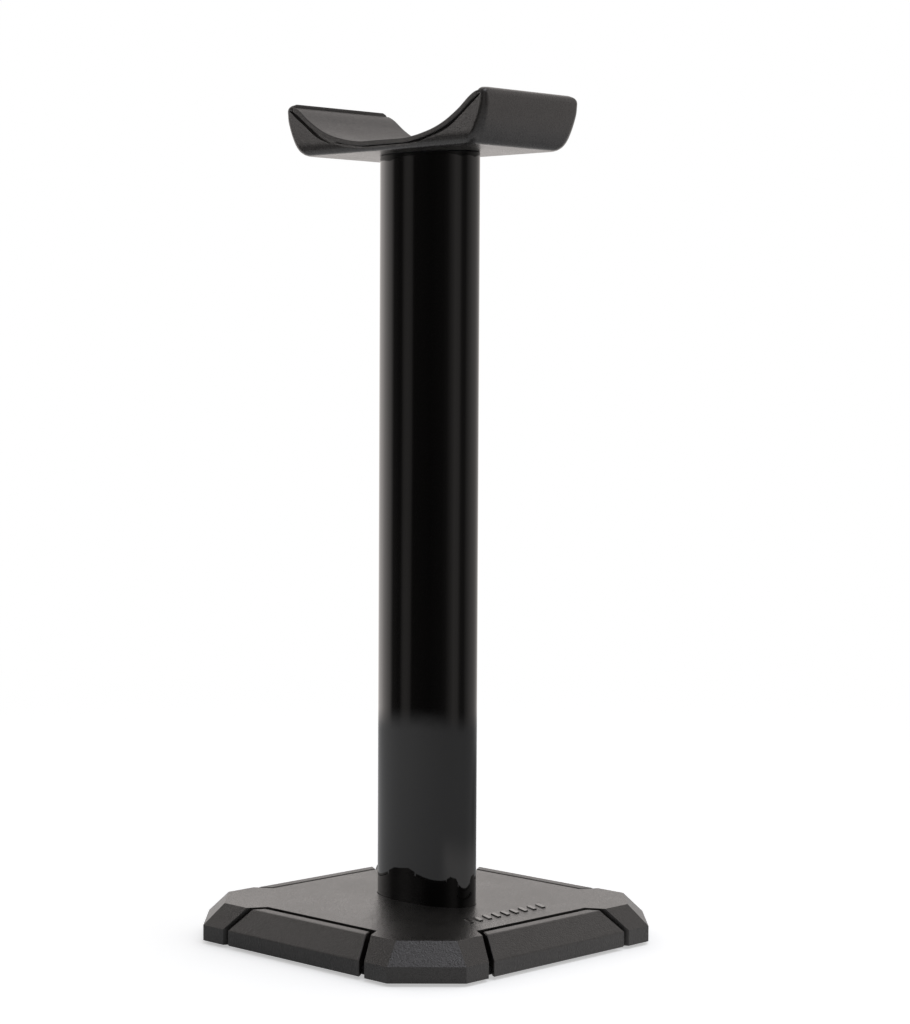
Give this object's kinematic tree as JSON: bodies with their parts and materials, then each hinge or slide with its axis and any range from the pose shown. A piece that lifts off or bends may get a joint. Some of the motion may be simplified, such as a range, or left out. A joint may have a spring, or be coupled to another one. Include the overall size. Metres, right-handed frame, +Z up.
{
  "type": "headphone stand",
  "caption": "Upright headphone stand: ballasted square base with truncated corners and let-in edge bars, tall oval column, and a cradle with two raised ends.",
  "frame": {"origin": "on the ground, under the centre of the base", "axes": "+Z up along the column; +X along the headband where it lies across the cradle; +Y towards the back, the cradle being long along Y"},
  "size_m": [0.114, 0.114, 0.2611],
  "materials": {
    "base_plastic": "fine textured satin black",
    "bar_plastic": "fine textured satin black, a touch lighter than the cover",
    "column_gloss": "piano-black gloss",
    "cradle_plastic": "smooth satin black",
    "inner_plastic": "as moulded, black",
    "foot_rubber": "matt black rubber",
    "ballast_steel": "cut steel plate, zinc plated",
    "screw_steel": "black-zinc plated steel"
  },
  "bodies": {
    "root": {"ballast_plate": "ballast_steel", "bar_screw_back_1": "screw_steel", "bar_screw_back_2": "screw_steel", "bar_screw_front_1": "screw_steel", "bar_screw_front_2": "screw_steel", "bar_screw_left_1": "screw_steel", "bar_screw_left_2": "screw_steel", "bar_screw_right_1": "screw_steel", "bar_screw_right_2": "screw_steel", "base_cover": "base_plastic", "base_screw_1": "screw_steel", "base_screw_2": "screw_steel", "bottom_plate": "inner_plastic", "column_tube": "column_gloss", "cover_screw_back_left": "screw_steel", "cover_screw_back_right": "screw_steel", "cover_screw_front_left": "screw_steel", "cover_screw_front_right": "screw_steel", "cradle_body": "cradle_plastic", "cradle_saddle": "cradle_plastic", "cradle_screw_1": "screw_steel", "cradle_screw_2": "screw_steel", "edge_bar_back": "bar_plastic", "edge_bar_front": "bar_plastic", "edge_bar_left": "bar_plastic", "edge_bar_right": "bar_plastic", "foot_pad_back_left": "foot_rubber", "foot_pad_back_right": "foot_rubber", "foot_pad_front_left": "foot_rubber", "foot_pad_front_right": "foot_rubber", "lower_plug": "inner_plastic", "upper_plug": "inner_plastic"}
  },
  "joints": []
}
